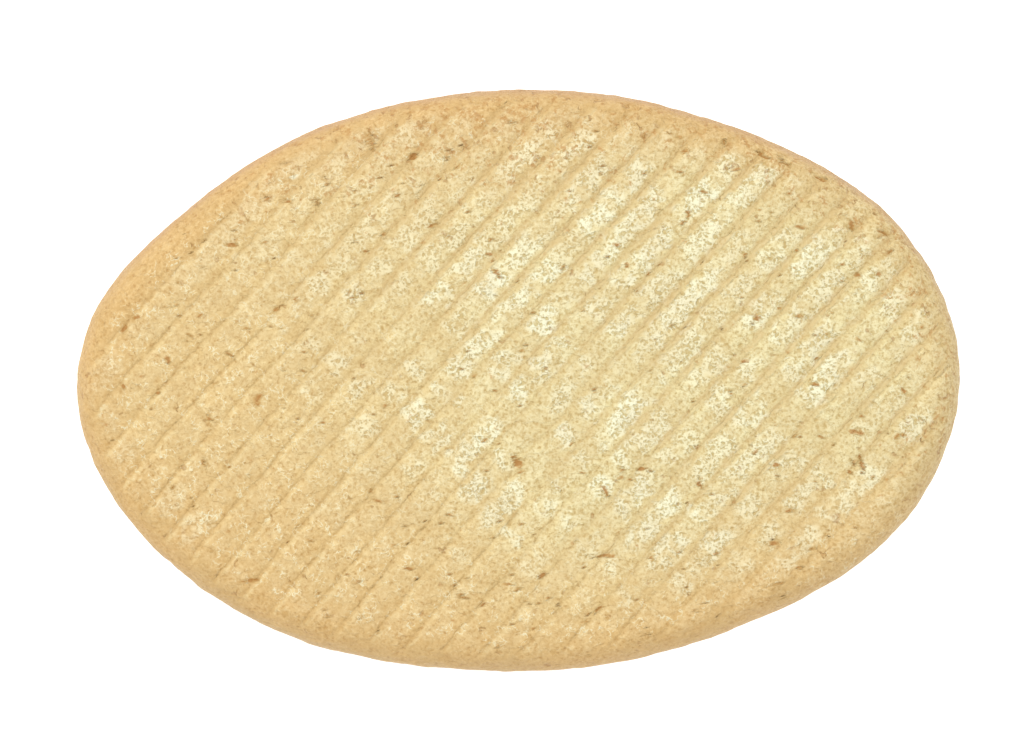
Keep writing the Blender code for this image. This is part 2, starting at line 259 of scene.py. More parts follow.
# Crumb relief, as (grain, height)
CRUMB = ((2.6 * MM, 0.045 * MM), (1.1 * MM, 0.030 * MM), (0.55 * MM, 0.020 * MM))
CRUMB_SEED = 7

# The side wall, by height above the table and distance in from the outline, how much coarser its crumb is,
# the base's share of crumb, and how much of it a pressed floor loses
WALL_RISE = (0.3 * MM, 1.5 * MM)
WALL_REACH = (0.5 * MM, 3.0 * MM)
WALL_CRUMB = 0.7
BASE_CRUMB = 0.35
FLOOR_SMOOTHS = 0.5

# Toasting fades inwards from the outline, is fainter by the right end, and grows in the two lower corners,
# which a bell round the middle holds apart. The side wall has its own least share
TOAST_RIM = (0.2 * MM, 6.0 * MM)
TOAST_RIGHT, TOAST_RIGHT_LESS = (13.0 * MM, 30.0 * MM), 0.55
TOAST_LOWER, TOAST_LOWER_MORE = (3.0 * MM, 12.0 * MM), 0.38
TOAST_APART = (5.0 * MM, 12.0 * MM)
TOAST_WALL = 0.45

# Golden crumb pales as X plus a share of Y goes from the first place to the second, except in two bands. The
# upper band fades out to the right. The lower one sets in higher to the right, and fades out at the end
GOLDEN_LEFT, GOLDEN_SLANT = (-28.0 * MM, 8.0 * MM), 0.35
UPPER_BAND, UPPER_BAND_END = (8.0 * MM, 22.0 * MM), (-2.0 * MM, 20.0 * MM)
LOWER_BAND, LOWER_BAND_SHARE = (9.5 * MM, 19.0 * MM), 0.85
LOWER_BAND_RISE, LOWER_BAND_RISES = 7.5 * MM, (12.0 * MM, 26.0 * MM)
LOWER_BAND_END = (27.0 * MM, 37.0 * MM)

# Cracked crust by the upper right rim, and a darker brink along the upper rim
CRACKED_RIM, CRACKED_SHARE = (2.0 * MM, 7.0 * MM), 0.8
BRINK = (0.15 * MM, 0.9 * MM)
UPPER_BRINK_RISE = (0.0, 14.0 * MM)

# How brightly the studio lights a white face
LIGHT_ON_FACE = 1.48

# Colours of the crust as they look under that light, in steps of 0 to 255: the crumb's shade and its light
CRUMB_SHADE, CRUMB_LIGHT = (210, 181, 117), (252, 237, 179)
GOLDEN_SHADE, GOLDEN_LIGHT = (207, 166, 98), (250, 219, 155)
TOASTED_SHADE, TOASTED_LIGHT = (208, 161, 90), (243, 204, 139)
# Glazed shade and light paint glints: a highlight along the strands and darker gaps between them
GLAZE_GLINT_SHADE, GLAZE_GLINT_LIGHT = (220, 202, 142), (262, 259, 223)

# Then the spots and lines on it, each with how strongly it covers, first on pale and then on golden crumb
# where those differ
# Pale flecks: partly paler crumb, partly painted glints along the strands
FLECK_AND_GLINT, FLECK_AND_GLINT_COVERS = (255, 245, 203), (0.25, 0.85)
BLOTCH, BLOTCH_COVERS = (222, 190, 130), 0.25
SPECK, GOLDEN_SPECK, SPECK_COVERS = (199, 168, 101), (196, 148, 84), (0.44, 0.26)
# Pressed floors: smoother tan crust, partly painted shade in the grooves
PRESSED_FLOOR_AND_SHADE, FLOOR_AND_SHADE_COVERS = (227, 194, 134), 0.38
# Painted highlight on the groove lip, on the side facing the key light
LIP_HIGHLIGHT, LIP_HIGHLIGHT_COVERS = (252, 230, 172), 0.32
# Painted shade in the crease, on the groove side turned from the key light
CREASE_SHADE, CREASE_SHADE_COVERS = (198, 152, 86), (0.18, 0.10)
RUST, RUST_COVERS = (204, 150, 82), 0.65
FISSURE, FISSURE_COVERS = (184, 130, 66), 0.55
TORN_EDGE, TORN_EDGE_COVERS = (214, 166, 92), 0.55
# Deep dent floors: browner crumb, partly painted shade
TORN_FLOOR_AND_SHADE, TORN_FLOOR_AND_SHADE_COVERS = (182, 122, 50), 0.72
UPPER_BRINK_TINT, UPPER_BRINK_COVERS = (208, 160, 110), 0.6

# Where the crease and the lip lie across a groove, as the sine of the turn from its middle
CREASE_LIES, LIP_LIES = -0.22, 0.85
EDGES_SHAKEN = 0.6

# How much each thing lightens the crumb: lips with a painted highlight, knobs, and pressed floors by settling
# to one tone
LIP_HIGHLIGHT_LIGHTENS, KNOB_LIGHTENS = 0.22, 0.35
FLOOR_TONE, FLOOR_SETTLES = 0.40, 0.5

# Roughness of dull crumb and of glazed strands
CRUST_ROUGHNESS = (0.60, 0.42)
CRUST_SPECULAR = 0.3

# Shares stored on the skin's points, which the crust reads
MARKS = (
    "across",
    "floor",
    "pressed",
    "smooth",
    "open",
    "knob",
    "glaze",
    "toast",
    "golden",
    "cracked",
    "upper_brink",
)

# Noises in the crust: grain in millimetres, detail, roughness and distortion
NOISES = {
    "blotch": (4.0, 3.0, 0.55, 0.0),
    "vein": (2.0, 3.0, 0.65, 0.2),
    "island": (1.6, 2.5, 0.6, 0.5),
    "clump": (1.0, 3.0, 0.55, 0.4),
    "gap": (0.9, 1.0, 0.5, 0.0),
    "rust": (0.8, 2.0, 0.6, 0.4),
    "bead": (0.55, 1.0, 0.5, 0.5),
    "strand": (0.42, 1.0, 0.5, 0.4),
    "mottle": (0.30, 2.0, 0.65, 0.3),
    "speck": (0.30, 1.0, 0.5, 0.0),
    "grit": (0.20, 1.0, 0.6, 0.0),
}
FLAKE_GRAIN = 0.9 * MM
SWIRL_GRAIN = 0.7 * MM
SWIRL_REACH = 0.9 * MM

# The finest relief, which is too fine for the skin's points. Heights and cuts count in steps of BUMP_DEPTH:
# by tone, on dull and glazed crumb, then by clumps and flakes, on open crumb and smooth floors
BUMP_DEPTH = 0.045 * MM
TONE_HEIGHT = (0.9, 1.2)
CLUMP_HEIGHT = (3.0, 1.5)
FLAKE_HEIGHT = (2.4, 0.3)
CREASE_CUT, FISSURE_CUT, TORN_CUT = 0.8, 1.2, 2.0

# Fineness of the skin
SLICES = 300
FACE_POINTS = 250
BASE_POINTS = 72
GROOVE_CROWDING = 0.45
CROWDING_FADE = (0.5 * MM, 3.0 * MM)

# Floor: how far it reaches, its white, and the light it gives off
FLOOR_REACH = 40 * LENGTH
FLOOR_WHITE = 0.95
FLOOR_GLOW = 0.30

# Studio: the room's light, then each lamp's place, size and power
ROOM_LIGHT = 0.79
KEY_LAMP = ((-0.29, 0.31, 0.52), 0.16, 1.75)
GLINT_LAMP = ((0.035, 0.02, 0.62), 0.12, 1.5)

# Camera: focal length and sensor in millimetres, how wide it sees at the rim, and where it stands in X and Y
CAMERA_LENS, CAMERA_SENSOR = 100.0, 36.0
CAMERA_VIEW = 1.1607 * LENGTH
CAMERA_PLACE = (-0.0073 * LENGTH, 0.0182 * LENGTH)


def smooth_step(value, low, high):
    """0 below low and 1 above high, with a smooth rise between."""
    share = np.clip((value - low) / (high - low), 0.0, 1.0)
    return share * share * (3.0 - 2.0 * share)


def bell(value, middle, reach):
    """1 at the middle, and less with the square of the distance from it, down to 0.37 at its reach."""
    return np.exp(-(((value - middle) / reach) ** 2))


def quarter_round(distance, width):
    """Rises from 0 at the rim to 1 at width in, along a quarter of an ellipse."""
    left = 1.0 - np.clip(distance / width, 0.0, 1.0)
    return np.sqrt(1.0 - left * left)


def stretch(values, low, high):
    """Stretches coordinates so that they run exactly from low to high."""
    return low + (values - values.min()) * (high - low) / (values.max() - values.min())


def drift(place, grain, seed):
    """Smooth random heights from -1 to 1: seeded values on a cubic lattice, joined by smooth steps.

    Places are moved by two lattices first, so that none lies below 0.
    """
    lattice = np.random.default_rng(seed).uniform(-1.0, 1.0, (LATTICE, LATTICE, LATTICE))
    scaled = place / grain + 2 * LATTICE
    corner = np.floor(scaled).astype(int)
    part = scaled - corner
    part = part * part * (3.0 - 2.0 * part)
    total = np.zeros(place.shape[:-1])
    for step in np.ndindex(2, 2, 2):
        at = (corner + step) % LATTICE
        share = np.where(np.array(step) == 1, part, 1.0 - part).prod(axis=-1)
        total += share * lattice[at[..., 0], at[..., 1], at[..., 2]]
    return total


def outline():
    """The outline as X and Y: an ellipse with slow waves, stretched to LENGTH by WIDTH and centred."""
    bearing = np.linspace(-math.pi, math.pi, OUTLINE_STEPS, endpoint=False)
    share = np.ones_like(bearing)
    for crests, height, crest in OUTLINE_WAVES:
        share += height * np.cos(crests * (bearing - math.radians(crest)))
    x = stretch(LENGTH * share * np.cos(bearing), -LENGTH / 2, LENGTH / 2)
    y = stretch(WIDTH * share * np.sin(bearing), -WIDTH / 2, WIDTH / 2)
    return x, y


def rib_bow(along):
    """How far the middle rib has bowed at a distance along it: by the square of that distance."""
    return RIB_BOW * (along / RIB_BOW_REACH) ** 2 * np.where(along < 0.0, 1.0, 0.5)


def to_ribs(x, y):
    """X and Y as distance across the bowed ribs and distance along them."""
    across = x * math.sin(RIB_BEARING) - y * math.cos(RIB_BEARING)
    along = x * math.cos(RIB_BEARING) + y * math.sin(RIB_BEARING)
    bow = rib_bow(along)
    return (across - bow) / (1.0 + bow / RIB_BOW_FADE), along


def from_ribs(across, along):
    """The reverse of to_ribs. The bow grows across the ribs: it is gone at RIB_BOW_FADE to the upper left."""
    across = across + rib_bow(along) * (1.0 + across / RIB_BOW_FADE)
    x = across * math.sin(RIB_BEARING) + along * math.cos(RIB_BEARING)
    y = -across * math.cos(RIB_BEARING) + along * math.sin(RIB_BEARING)
    return x, y


def chord_ends(across):
    """Where a line along the ribs, at each distance across them, enters and leaves the outline."""
    edge_across, edge_along = to_ribs(*outline())
    first = np.argmin(edge_across)
    edge_across = np.roll(edge_across, -first)
    edge_along = np.roll(edge_along, -first)
    last = np.argmax(edge_across)
    one_side = np.interp(across, edge_across[: last + 1], edge_along[: last + 1])
    other_across = np.append(edge_across[last:], edge_across[0])[::-1]
    other_along = np.append(edge_along[last:], edge_along[0])[::-1]
    other_side = np.interp(across, other_across, other_along)
    return np.minimum(one_side, other_side), np.maximum(one_side, other_side)


def edge_distance(x, y):
    """Distance in from the outline: the gap along the radius, leaned by the outline's slope there."""
    edge_x, edge_y = outline()
    bearing = np.arctan2(edge_y, edge_x)
    order = np.argsort(bearing)
    bearing = bearing[order]
    radius = np.hypot(edge_x, edge_y)[order]
    lean = radius / np.hypot(radius, np.gradient(radius, bearing))
    here = np.arctan2(y, x)
    reach = np.interp(here, bearing, radius, period=2 * math.pi)
    leaned = np.interp(here, bearing, lean, period=2 * math.pi)
    return np.maximum((reach - np.hypot(x, y)) * leaned, 0.0)


def closing_up(share, half):
    """Distance from the middle at shares -1 to 1 of the way to two ends that lie half from it.

    The steps are even along a path that turns down at each end in a quarter circle as wide as the rim's
    round, so seen from above they close up towards the ends.
    """
    quarter = TOP_ROUND * math.pi / 2
    turning = TOP_ROUND * np.arccos(np.clip(1.0 - half / TOP_ROUND, 0.0, 1.0))
    path = np.where(half < TOP_ROUND, turning, quarter + half - TOP_ROUND)
    left = path * (1.0 - np.abs(share))
    inset = np.where(left < quarter, TOP_ROUND * (1.0 - np.cos(left / TOP_ROUND)), TOP_ROUND + left - quarter)
    return np.sign(share) * (half - inset)


def groove_lines():
    """Distance across the ribs of each groove's middle: a steady pitch that opens slowly to both ends."""
    count = np.arange(-GROOVES_EACH_SIDE, GROOVES_EACH_SIDE + 1)
    spread = (count / GROOVES_EACH_SIDE) ** 2
    return MIDDLE_GROOVE + RIB_PITCH * count * (1.0 + RIB_SPREAD * spread) + RIB_SHIFT * spread


def groove_press(x, y, place):
    """How firmly the ribs are pressed, as a share: deepest up and to the right, and uneven along them."""
    side = x / (LENGTH / 2)
    up = y / (WIDTH / 2)
    firm = PRESS_MIDDLE + PRESS_CORNER * side * up + PRESS_TOP * up + PRESS_END * side
    firm = np.clip(firm, *PRESS_SPAN)
    patch_x, patch_y, reach_x, reach_y = SOFT_PATCH
    patch = np.exp(-(((x - patch_x) / reach_x) ** 2) - ((y - patch_y) / reach_y) ** 2)
    firm *= 1.0 - SOFT_PATCH_GIVES * patch
    uneven = np.zeros(x.shape)
    for number, (grain, share) in enumerate(PRESS_UNEVEN):
        uneven += share * drift(place, grain, CRUMB_SEED + 1 + number)
    return np.clip(firm * (1.0 + uneven), *PRESS_LIMITS)


def sway(across, along):
    """How far the grooves swing to the lower right: upper left and low down, and back at the right end.

    Each swing is a bell or a smooth step along the ribs, times a smooth step across them.
    """
    left = SWAY_LEFT * bell(along, *LEFT_BELL) * smooth_step(-across, *LEFT_ACROSS)
    low = SWAY_LOW * (1.0 - smooth_step(along, *LOW_ALONG)) * smooth_step(across, *LOW_ACROSS)
    right = SWAY_RIGHT * smooth_step(along, *RIGHT_ALONG) * smooth_step(across, *RIGHT_ACROSS)
    return left + low - right


def groove_away(x, y, place):
    """Distance across from the nearest groove's middle, below 0 on its upper left, with a slight wander."""
    across, along = to_ribs(x, y)
    across = across - sway(across, along)
    for number, (grain, reach) in enumerate(GROOVE_WANDER):
        across = across + reach * drift(place, grain, CRUMB_SEED + 3 + number)
    away = across[..., None] - groove_lines()
    nearest = np.abs(away).argmin(axis=-1)[..., None]
    return np.take_along_axis(away, nearest, axis=-1)[..., 0]


def groove_profile(away, along):
    """Three shares for each point, by smooth steps across: down in a groove, up on a land, and how smooth."""
    square = smooth_step(along, *GROOVE_CHANGE)
    before, start, end, after = (
        slanted + square * (level - slanted) for slanted, level in zip(*GROOVE_SHAPES)
    )
    wall = smooth_step(away, before, start) * (1.0 - smooth_step(away, end, after))
    land = np.maximum(smooth_step(-away, -before, RIB_PITCH / 2), smooth_step(away, after, RIB_PITCH / 2))
    smooth_end = end + GROOVE_SMOOTH * (after - end)
    smooth = smooth_step(away, before, start) * (1.0 - smooth_step(away, end, smooth_end))
    return wall, land, smooth * (0.3 + 0.7 * square)


def glaze_and_glints(x, y, place):
    """How strongly the crust is glazed with painted glints, as a share: the listed glazed stretches, with
    ragged ends and sides.
    """
    across, along = to_ribs(x, y)
    grain, reach = GLAZE_GLINT_RAGGED
    ragged = reach * drift(place, grain, CRUMB_SEED + 5)
    lines = groove_lines()
    number = np.interp(across + 0.5 * ragged, lines, np.arange(-GROOVES_EACH_SIDE, GROOVES_EACH_SIDE + 1))
    land = np.floor(number).astype(int)
    grain, reach = GLAZE_GLINT_SIDE_RAGGED
    side = number - land + reach * drift(place, grain, CRUMB_SEED + 6)
    over = smooth_step(side, *GLAZE_GLINT_STARTS) * (1.0 - smooth_step(side, *GLAZE_GLINT_STOPS))
    run = (along + ragged) / MM
    upper_left = smooth_step(y, *GLAZE_GLINT_UP) * (1.0 - smooth_step(x, *GLAZE_GLINT_LEFT))
    share = GLAZE_GLINT_BASE + GLAZE_GLINT_UPPER_LEFT * upper_left
    for line, stretches in GLAZE_GLINTS.items():
        here = np.zeros(x.shape)
        for start, end, strength in stretches:
            begun = smooth_step(run, start - GLAZE_GLINT_END_MM, start + GLAZE_GLINT_END_MM)
            ended = smooth_step(run, end - GLAZE_GLINT_END_MM, end + GLAZE_GLINT_END_MM)
            here = np.maximum(here, strength * begun * (1.0 - ended))
        share = np.where(land == line, np.maximum(share, here), share)
    return share * over


def dents(place, marks, slimness, seed):
    """How deep each point lies in the dents, as a share: ellipses with ragged edges, 1 in their middles."""
    grain, share = DENT_RAGGED
    ragged = share * drift(place, grain, seed)
    grain, reach = DENT_WANDER
    wander = reach * drift(place, grain, seed + 1)
    depth = np.zeros(place.shape[:-1])
    for x, y, length, bearing in marks:
        turn = math.radians(bearing)
        away_x = place[..., 0] - x * MM
        away_y = place[..., 1] - y * MM
        near = np.hypot(away_x, away_y) < length * MM
        run = away_x[near] * math.cos(turn) + away_y[near] * math.sin(turn)
        side = away_y[near] * math.cos(turn) - away_x[near] * math.sin(turn) + wander[near]
        out = np.hypot(run, side / slimness) / (length * MM / 2) + ragged[near]
        depth[near] = np.maximum(depth[near], 1.0 - smooth_step(out, *DENT_FADE))
    return depth


def scattered(count, lengths, seed):
    """Marks drawn at random over the face: X, Y and length in millimetres, and bearing in degrees."""
    draw = np.random.default_rng(seed)
    turn = draw.uniform(0.0, 2 * math.pi, count)
    out = SCATTER_REACH * np.sqrt(draw.uniform(0.0, 1.0, count))
    x = out * np.cos(turn) * LENGTH / 2 / MM
    y = out * np.sin(turn) * WIDTH / 2 / MM
    length = lengths[0] + (lengths[1] - lengths[0]) * draw.uniform(0.0, 1.0, count) ** 2
    return np.stack([x, y, length, draw.uniform(0.0, 180.0, count)], axis=1)


def towards_upper_right(x, y):
    """How far a place lies to the upper right, as a share: a smooth step of X plus a share of Y."""
    return smooth_step(x + UPPER_RIGHT_SLANT * y, *UPPER_RIGHT)


def nicks():
    """The short nicks: marks drawn at random, of which one in four is left away from the upper right."""
    drawn = scattered(NICKS, NICK_LENGTHS_MM, NICK_SEED)
    upper_right = towards_upper_right(drawn[:, 0] * MM, drawn[:, 1] * MM)
    wanted = NICKS_ELSEWHERE + (1.0 - NICKS_ELSEWHERE) * upper_right
    return drawn[np.random.default_rng(NICK_SEED + 1).uniform(0.0, 1.0, NICKS) < wanted]


def crowded(across, low, high):
    """Places across the ribs, drawn towards the grooves by a sine wave as long as the pitch."""
    lines = groove_lines()
    turn = np.interp(across, lines, 2 * math.pi * np.arange(len(lines)))
    inside = smooth_step(np.minimum(across - low, high - across), *CROWDING_FADE)
    return across - inside * GROOVE_CROWDING * RIB_PITCH / (2 * math.pi) * np.sin(turn)


def skin_grid():
    """The smooth, ribbed body as a grid of slices by places round each slice.

    A slice is a closed ring along the ribs: over the face from one end of its chord to the other, and
    back along the base. The first and last slices have no length, and are the two tips.
    """
    edge_across, _ = to_ribs(*outline())
    low, high = edge_across.min(), edge_across.max()
    share = np.linspace(-1.0, 1.0, SLICES)
    across = crowded((low + high) / 2 + closing_up(share, (high - low) / 2), low, high)
    start, end = chord_ends(across)
    over = np.linspace(-1.0, 1.0, FACE_POINTS + 1)
    back = np.linspace(1.0, -1.0, BASE_POINTS + 1)[1:-1]
    round_share = np.concatenate([over, back])
    half = (end - start) / 2
    along = (start + end)[:, None] / 2 + closing_up(round_share[None, :], half[:, None])
    x, y = from_ribs(across[:, None], along)
    distance = edge_distance(x, y)
    on_face = np.zeros(x.shape, bool)
    on_face[:, : FACE_POINTS + 1] = True

    level = THICKNESS - CROWN - LAND_CROWN
    top = RIM_HEIGHT + (level - RIM_HEIGHT) * quarter_round(distance, TOP_ROUND)
    out = (2 * x / LENGTH) ** 2 + (2 * y / WIDTH) ** 2
    top += smooth_step(distance, 0.0, 2 * TOP_ROUND) * CROWN * (1.0 - out)
    base = RIM_HEIGHT * (1.0 - quarter_round(distance, BASE_ROUND))
    z = np.where(on_face, top, base)
    return np.stack([x, y, z], axis=-1), on_face, distance


def outward(grid):
    """Unit normals of the grid, from the steps between its slices and round each slice."""
    between = np.gradient(grid, axis=0)
    round_slice = np.roll(grid, -1, axis=1) - np.roll(grid, 1, axis=1)
    normal = np.cross(between, round_slice)
    size = np.linalg.norm(normal, axis=-1, keepdims=True)
    return normal / np.maximum(size, 1e-15)


def ring_faces(slices, points):
    """Quads between neighbouring slices, and a fan of triangles at each tip: the first and last points."""
    ring = np.arange(slices)[:, None] * points + np.arange(points)[None, :] + 1
    ahead = np.roll(ring, -1, axis=1)
    quads = np.stack([ring[:-1], ahead[:-1], ahead[1:], ring[1:]], axis=-1).reshape(-1, 4)
    last = slices * points + 1
    first_fan = np.stack([np.zeros(points, int), ahead[0], ring[0]], axis=-1)
    last_fan = np.stack([np.full(points, last), ring[-1], ahead[-1]], axis=-1)
    return quads.tolist() + first_fan.tolist() + last_fan.tolist()


def press_ribs(grid, on_face, distance):
    """Presses the grooves down and rounds the lands: land height less groove depth, times the press.

    Gives the distance across from each groove, how firmly the face is pressed, and how smooth it is.
    """
    x, y = grid[..., 0], grid[..., 1]
    away = groove_away(x, y, grid)
    wall, land, smooth = groove_profile(away, to_ribs(x, y)[1])
    kept = smooth_step(distance, *GROOVE_FADE) * on_face
    press = groove_press(x, y, grid)
    grid[..., 2] += kept * press * (LAND_CROWN * land - GROOVE_DEPTH * wall)
    return away, kept, press, smooth


def bake(grid, on_face, distance, floor):
    """The grid pushed along its normals by crumb and knobs, less dents, and the shares of dents and knobs."""
    crumb = np.zeros(distance.shape)
    for number, (grain, height) in enumerate(CRUMB):
        crumb += height * drift(grid, grain, CRUMB_SEED + 10 + number)
    wall = smooth_step(grid[..., 2], *WALL_RISE) * (1.0 - smooth_step(distance, *WALL_REACH))
    rough = np.where(on_face, 1.0, BASE_CRUMB + (1.0 - BASE_CRUMB) * wall)
    rough = (1.0 - FLOOR_SMOOTHS * floor) * rough * (1.0 + WALL_CRUMB * wall)

    shallow = RIM_DENT_SHARE + (1.0 - RIM_DENT_SHARE) * smooth_step(distance, *RIM_DENTS)
    gaping = np.maximum(shallow, towards_upper_right(grid[..., 0], grid[..., 1]))
    pits = dents(grid, PITS, PIT_SLIMNESS, PIT_SEED) * on_face * shallow
    cracks = dents(grid, CRACKS, CRACK_SLIMNESS, CRACK_SEED) * on_face * gaping
    short = dents(grid, nicks(), NICK_SLIMNESS, NICK_EDGE_SEED) * on_face * shallow
    cracks = np.maximum(cracks, NICK_SHARE * short)
    drawn = scattered(PORES, PORE_LENGTHS_MM, PORE_SEED)
    pores = dents(grid, drawn, PORE_SLIMNESS, PORE_EDGE_SEED) * shallow
    knobs = dents(grid, KNOBS, KNOB_SLIMNESS, KNOB_SEED) * on_face

    relief = crumb * rough + KNOB_HEIGHT * knobs - PIT_DEPTH * np.maximum(pits, cracks)
    relief -= PORE_DEPTH * pores * np.where(on_face, 1.0, BASE_PORE_SHARE)
    grid = grid + outward(grid) * relief[..., None]
    return grid, np.maximum(np.maximum(pits, cracks), pores), knobs


def browning(x, y, on_face, distance):
    """How toasted, golden and cracked the crust is, and how dark its upper brink, as shares by smooth steps
    over the face.
    """
    toast = 1.0 - smooth_step(distance, *TOAST_RIM)
    toast *= 1.0 - TOAST_RIGHT_LESS * smooth_step(x, *TOAST_RIGHT)
    corners = smooth_step(-y, *TOAST_LOWER) * (1.0 - bell(x, *TOAST_APART))
    toast += (1.0 - toast) * TOAST_LOWER_MORE * corners
    toast = np.where(on_face, toast, np.maximum(toast, TOAST_WALL))

    upper = smooth_step(y, *UPPER_BAND) * (1.0 - smooth_step(x, *UPPER_BAND_END))
    set_in = LOWER_BAND[0] - LOWER_BAND_RISE * smooth_step(x, *LOWER_BAND_RISES)
    lower = LOWER_BAND_SHARE * smooth_step(-y, set_in, LOWER_BAND[1])
    lower *= 1.0 - smooth_step(x, *LOWER_BAND_END)
    paler = smooth_step(x + GOLDEN_SLANT * y, *GOLDEN_LEFT) * (1.0 - upper) * (1.0 - lower)

    near_rim = 1.0 - smooth_step(distance, *CRACKED_RIM)
    cracked = np.maximum(CRACKED_SHARE * towards_upper_right(x, y) * near_rim, upper)
    brink = (1.0 - smooth_step(distance, *BRINK)) * on_face
    upper_brink = smooth_step(y, *UPPER_BRINK_RISE) * brink
    return {"toast": toast, "golden": 1.0 - paler, "cracked": cracked, "upper_brink": upper_brink}


def closed_mesh(grid, marks):
    """The grid as one closed mesh, stretched to the solid's box, with the marks stored on its points."""
    inner = grid[1:-1]
    tips = grid[[0, -1], 0]
    points = np.concatenate([tips[:1], inner.reshape(-1, 3), tips[1:]])
    for axis in range(3):
        points[:, axis] = stretch(points[:, axis], LOWEST[axis], HIGHEST[axis])
    mesh = bpy.data.meshes.new("biscuit_skin")
    mesh.from_pydata(points.tolist(), [], ring_faces(inner.shape[0], inner.shape[1]))
    for name, values in marks.items():
        layer = mesh.attributes.new(name, "FLOAT", "POINT")
        flat = np.concatenate([values[:1, 0], values[1:-1].ravel(), values[-1:, 0]])
        layer.data.foreach_set("value", flat.astype(np.float32))
    mesh.shade_smooth()
    mesh.update()
    return mesh


def biscuit_skin():
    """The baked skin: the ribbed body, pushed out and in along its normals by crumb, pores and cracks."""
    grid, on_face, distance = skin_grid()
    x, y = grid[..., 0], grid[..., 1]
    away, kept, press, smooth = press_ribs(grid, on_face, distance)
    baked, opened, knobs = bake(grid, on_face, distance, smooth * kept)
    turn = away * 2 * math.pi / RIB_PITCH
    marks = {
        "across": np.sin(turn),
        "floor": np.cos(turn),
        "pressed": kept * press,
        "smooth": kept * smooth_step(press, 0.1, 0.7) * smooth,
        "open": opened,
        "knob": knobs,
        "glaze": glaze_and_glints(x, y, baked) * smooth_step(distance, *GLAZE_GLINT_RIM) * on_face,
        **browning(x, y, on_face, distance),
    }
    skin = bpy.data.objects.new("biscuit_skin", closed_mesh(baked, marks))
    bpy.context.scene.collection.objects.link(skin)
    return skin


def seen(colour):
    """The base colour that looks like this display colour, in steps of 0 to 255, under the studio's light."""
    shares = np.array(colour) / 255.0
    values = np.where(shares <= 0.04045, shares / 12.92, ((shares + 0.055) / 1.055) ** 2.4)
    return (*(values / LIGHT_ON_FACE).tolist(), 1.0)


class Nodes:
    """Adds shader nodes to one material and wires them together."""

    def __init__(self, tree):
        self.tree = tree

    def add(self, kind, inputs=None, **settings):
        """A node of a kind, with its settings, and its inputs fed by values or by other nodes' outputs."""
        made = self.tree.nodes.new(kind)
        for name, value in settings.items():
            setattr(made, name, value)
        for name, value in (inputs or {}).items():
            if isinstance(value, bpy.types.NodeSocket):
                self.tree.links.new(value, made.inputs[name])
            else:
                made.inputs[name].default_value = value
        return made

    def mark(self, name):
        """One of the shares stored on the skin's points."""
        return self.add("ShaderNodeAttribute", attribute_name=name).outputs["Fac"]

    def maths(self, operation, first, second):
        """One arithmetic step on two numbers or outputs."""
        return self.add("ShaderNodeMath", {0: first, 1: second}, operation=operation).outputs[0]

    def plus(self, first, second):
        """Two numbers added."""
        return self.maths("ADD", first, second)

    def minus(self, first, second):
        """The second number taken from the first."""
        return self.maths("SUBTRACT", first, second)

    def times(self, first, second):
        """Two numbers multiplied."""
        return self.maths("MULTIPLY", first, second)

    def most(self, first, second):
        """The larger of two numbers."""
        return self.maths("MAXIMUM", first, second)

    def away_from(self, value, middle):
        """How far a number lies from a middle, to either side."""
        return self.maths("ABSOLUTE", self.minus(value, middle), 0.0)

    def ramp(self, value, low, high, start=0.0, end=1.0):
        """A smooth rise from start to end as the value goes from low to high."""
        inputs = {"Value": value, "From Min": low, "From Max": high, "To Min": start, "To Max": end}
        made = self.add("ShaderNodeMapRange", inputs, interpolation_type="SMOOTHSTEP")
        return made.outputs["Result"]

    def between(self, share, first, second):
        """Two numbers, mixed by a share."""
        return self.add("ShaderNodeMix", {0: share, 2: first, 3: second}).outputs[0]

    def mix(self, share, first, second):
        """Two colours, mixed by a share."""
        inputs = {0: share, 6: first, 7: second}
        return self.add("ShaderNodeMix", inputs, data_type="RGBA", blend_type="MIX").outputs[2]

    def paint(self, share, under, colour):
        """A colour laid over what is under it, by a share."""
        return self.mix(share, under, seen(colour))

    def flakes(self, point):
        """Crumb flakes, as Voronoi cells with a tone for each, bent by a swirling noise."""
        swirl = self.add("ShaderNodeTexNoise", {"Vector": point, "Scale": 1.0 / SWIRL_GRAIN, "Detail": 2.0})
        bent = {0: swirl.outputs["Color"], 1: (SWIRL_REACH, SWIRL_REACH, SWIRL_REACH), 2: point}
        bent = self.add("ShaderNodeVectorMath", bent, operation="MULTIPLY_ADD").outputs[0]
        return self.add("ShaderNodeTexVoronoi", {"Vector": bent, "Scale": 1.0 / FLAKE_GRAIN}).outputs["Color"]

    def noise(self, point, grain_mm, detail, roughness, distortion):
        """Soft noise whose blobs are about one grain across."""
        inputs = {
            "Vector": point,
            "Scale": 1.0 / (grain_mm * MM),
            "Detail": detail,
            "Roughness": roughness,
            "Distortion": distortion,
        }
        return self.add("ShaderNodeTexNoise", inputs, noise_dimensions="3D").outputs["Fac"]


def groove_edges(nodes, mark, noise):
    """The crease on each groove's upper left, where shade is painted, and the lip on its lower right, where a
    highlight is painted, as shares.
    """
    shaken = nodes.plus(mark["across"], nodes.times(nodes.minus(noise["clump"], 0.5), EDGES_SHAKEN))
    crease = nodes.ramp(nodes.away_from(shaken, CREASE_LIES), 0.42, 0.06)
    crease = nodes.times(crease, nodes.ramp(mark["floor"], 0.0, 0.4))
    crease = nodes.times(crease, nodes.ramp(mark["pressed"], 0.1, 0.5))
    crease = nodes.times(crease, nodes.ramp(noise["island"], 0.35, 0.6, 0.1, 1.0))
    lit_lip = nodes.ramp(nodes.away_from(shaken, LIP_LIES), 0.55, 0.05)
    lit_lip = nodes.times(lit_lip, nodes.ramp(mark["floor"], 0.0, 0.5))
    lit_lip = nodes.times(lit_lip, nodes.times(nodes.ramp(mark["pressed"], 0.2, 0.6), mark["golden"]))
    return crease, nodes.times(lit_lip, nodes.ramp(noise["clump"], 0.35, 0.55))


